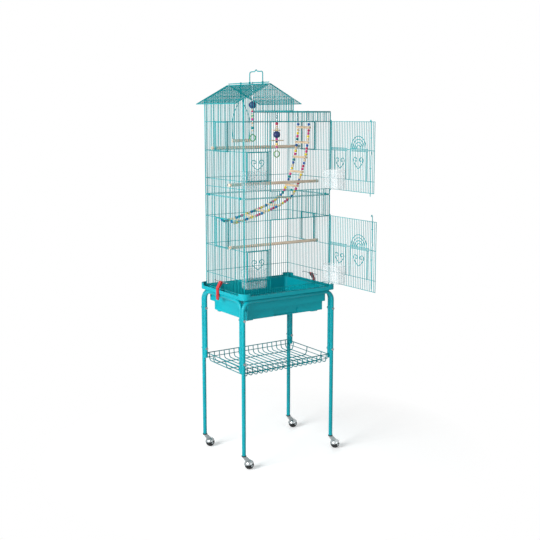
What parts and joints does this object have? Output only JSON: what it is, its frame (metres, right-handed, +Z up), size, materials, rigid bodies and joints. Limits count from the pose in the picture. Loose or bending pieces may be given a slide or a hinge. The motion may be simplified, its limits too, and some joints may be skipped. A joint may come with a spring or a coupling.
{
  "type": "parrot cage on a rolling stand",
  "caption": "Tall wire bird cage with gabled roof, hinged front doors with sliding latch rods, pull-out tray and a rolling tube stand with a wire basket.",
  "frame": {"origin": "on the floor, below the middle of the whole object's box with both main doors open", "axes": "+Z up, the front with the main doors faces -Y, +X to the right seen from the front"},
  "size_m": [0.5078, 0.6266, 1.587],
  "materials": {
    "powder_coat": "teal powder coat, satin",
    "tube_coat": "teal powder coat, satin",
    "tray_plastic": "moulded teal plastic",
    "zinc": "bright plated",
    "hood_chrome": "polished",
    "ball_rubber": "dark",
    "plug_black": "black",
    "clip_red": "red",
    "cup_clear": "clear to milky",
    "perch_wood": "plain turned wood",
    "ladder_wood": "plain turned wood",
    "beads": "dyed in several colours",
    "toy_wire": "bright wire"
  },
  "bodies": {
    "cage": {"wall_front_lower": "powder_coat", "wall_back_lower": "powder_coat", "wall_left_lower": "powder_coat", "wall_right_lower": "powder_coat", "wall_front_upper": "powder_coat", "wall_back_upper": "powder_coat", "wall_left_upper": "powder_coat", "wall_right_upper": "powder_coat", "roof_left": "powder_coat", "roof_right": "powder_coat", "roof_side": "powder_coat", "flat_top": "powder_coat", "section_clips": "powder_coat", "ridge_rod": "powder_coat", "storage_basket": "powder_coat", "clip_wires": "powder_coat", "stand_front": "tube_coat", "stand_back": "tube_coat", "stand_left": "tube_coat", "stand_right": "tube_coat", "stand_bolts": "zinc", "base_tray": "tray_plastic", "caster_plugs": "plug_black", "feeding_cup_lower": "cup_clear", "feeding_cup_upper": "cup_clear", "perches": "perch_wood", "ladder_wires": "toy_wire", "ladder_rungs": "ladder_wood", "ladder_beads": "beads"},
    "drawer": {"drawer": "tray_plastic"},
    "door_lower": {"door_lower": "powder_coat", "door_cup_lower": "cup_clear"},
    "door_upper": {"door_upper": "powder_coat", "door_cup_upper": "cup_clear"},
    "latch_lower": {"latch_lower": "powder_coat"},
    "latch_upper": {"latch_upper": "powder_coat"},
    "handle": {"handle": "powder_coat"},
    "swing": {"swing_wire": "toy_wire", "swing_bar": "perch_wood"},
    "toy_left": {"toy_left": "toy_wire", "toy_left_beads": "beads"},
    "toy_right": {"toy_right": "toy_wire", "toy_right_beads": "beads"},
    "red_clip_left": {"red_clip_left": "clip_red"},
    "red_clip_right": {"red_clip_right": "clip_red"},
    "feeder_door_lower": {"feeder_door_lower": "powder_coat"},
    "feeder_door_upper": {"feeder_door_upper": "powder_coat"},
    "side_door_left_lower": {"side_door_left_lower": "powder_coat"},
    "side_door_left_upper": {"side_door_left_upper": "powder_coat"},
    "side_door_right_lower": {"side_door_right_lower": "powder_coat"},
    "side_door_right_upper": {"side_door_right_upper": "powder_coat"},
    "caster_yoke_front_left": {"caster_yoke_front_left": "hood_chrome"},
    "caster_ball_front_left": {"caster_ball_front_left": "ball_rubber"},
    "caster_yoke_front_right": {"caster_yoke_front_right": "hood_chrome"},
    "caster_ball_front_right": {"caster_ball_front_right": "ball_rubber"},
    "caster_yoke_back_left": {"caster_yoke_back_left": "hood_chrome"},
    "caster_ball_back_left": {"caster_ball_back_left": "ball_rubber"},
    "caster_yoke_back_right": {"caster_yoke_back_right": "hood_chrome"},
    "caster_ball_back_right": {"caster_ball_back_right": "ball_rubber"}
  },
  "joints": [
    {"name": "drawer_slide", "type": "slide", "parent": "cage", "child": "drawer", "axis": [0, -1, 0], "range_m": [0, 0.2]},
    {"name": "door_lower_hinge", "type": "hinge", "parent": "cage", "child": "door_lower", "pos_m": [0.19727, -0.02085, 0.728], "axis": [0, 0, 1], "range_deg": [-90, 20]},
    {"name": "door_upper_hinge", "type": "hinge", "parent": "cage", "child": "door_upper", "pos_m": [0.19727, -0.02085, 1.113], "axis": [0, 0, 1], "range_deg": [-87, 20]},
    {"name": "latch_lower_slide", "type": "slide", "parent": "door_lower", "child": "latch_lower", "axis": [0, 0, 1], "range_m": [-0.031, 0.009]},
    {"name": "latch_upper_slide", "type": "slide", "parent": "door_upper", "child": "latch_upper", "axis": [0, 0, 1], "range_m": [-0.009, 0.031]},
    {"name": "feeder_door_lower_slide", "type": "slide", "parent": "cage", "child": "feeder_door_lower", "axis": [0, 0, 1], "range_m": [0, 0.1]},
    {"name": "side_door_left_lower_slide", "type": "slide", "parent": "cage", "child": "side_door_left_lower", "axis": [0, 0, 1], "range_m": [0, 0.09]},
    {"name": "side_door_right_lower_slide", "type": "slide", "parent": "cage", "child": "side_door_right_lower", "axis": [0, 0, 1], "range_m": [0, 0.09]},
    {"name": "feeder_door_upper_slide", "type": "slide", "parent": "cage", "child": "feeder_door_upper", "axis": [0, 0, 1], "range_m": [0, 0.1]},
    {"name": "side_door_left_upper_slide", "type": "slide", "parent": "cage", "child": "side_door_left_upper", "axis": [0, 0, 1], "range_m": [0, 0.07]},
    {"name": "side_door_right_upper_slide", "type": "slide", "parent": "cage", "child": "side_door_right_upper", "axis": [0, 0, 1], "range_m": [0, 0.09]},
    {"name": "handle_hinge", "type": "hinge", "parent": "cage", "child": "handle", "pos_m": [-0.09963, 0.07635, 1.5355], "axis": [0, 1, 0], "range_deg": [-75, 75]},
    {"name": "swing_hinge", "type": "hinge", "parent": "cage", "child": "swing", "pos_m": [-0.09963, 0.18985, 1.5355], "axis": [0, 1, 0], "range_deg": [-12, 12]},
    {"name": "toy_left_hinge", "type": "hinge", "parent": "cage", "child": "toy_left", "pos_m": [-0.09963, 0.10285, 1.5355], "axis": [0, 1, 0], "range_deg": [-10, 10]},
    {"name": "toy_right_hinge", "type": "hinge", "parent": "cage", "child": "toy_right", "pos_m": [0.0374, 0.13485, 1.4246], "axis": [0, 1, 0], "range_deg": [-10, 10]},
    {"name": "red_clip_left_hinge", "type": "hinge", "parent": "cage", "child": "red_clip_left", "pos_m": [-0.22263, 0.15285, 0.744], "axis": [0, 1, 0], "range_deg": [0, 90]},
    {"name": "red_clip_right_hinge", "type": "hinge", "parent": "cage", "child": "red_clip_right", "pos_m": [0.20637, 0.12285, 0.744], "axis": [0, -1, 0], "range_deg": [0, 90]},
    {"name": "caster_swivel_front_left", "type": "hinge", "parent": "cage", "child": "caster_yoke_front_left", "pos_m": [-0.22613, -0.02265, 0.058], "axis": [0, 0, 1], "continuous": true},
    {"name": "caster_roll_front_left", "type": "hinge", "parent": "caster_yoke_front_left", "child": "caster_ball_front_left", "pos_m": [-0.20113, -0.02265, 0.019], "axis": [0, 1, 0], "continuous": true},
    {"name": "caster_swivel_front_right", "type": "hinge", "parent": "cage", "child": "caster_yoke_front_right", "pos_m": [0.20987, -0.02265, 0.058], "axis": [0, 0, 1], "continuous": true},
    {"name": "caster_roll_front_right", "type": "hinge", "parent": "caster_yoke_front_right", "child": "caster_ball_front_right", "pos_m": [0.23487, -0.02265, 0.019], "axis": [0, 1, 0], "continuous": true},
    {"name": "caster_swivel_back_left", "type": "hinge", "parent": "cage", "child": "caster_yoke_back_left", "pos_m": [-0.22613, 0.29235, 0.058], "axis": [0, 0, 1], "continuous": true},
    {"name": "caster_roll_back_left", "type": "hinge", "parent": "caster_yoke_back_left", "child": "caster_ball_back_left", "pos_m": [-0.20113, 0.29235, 0.019], "axis": [0, 1, 0], "continuous": true},
    {"name": "caster_swivel_back_right", "type": "hinge", "parent": "cage", "child": "caster_yoke_back_right", "pos_m": [0.20987, 0.29235, 0.058], "axis": [0, 0, 1], "continuous": true},
    {"name": "caster_roll_back_right", "type": "hinge", "parent": "caster_yoke_back_right", "child": "caster_ball_back_right", "pos_m": [0.23487, 0.29235, 0.019], "axis": [0, 1, 0], "continuous": true}
  ]
}
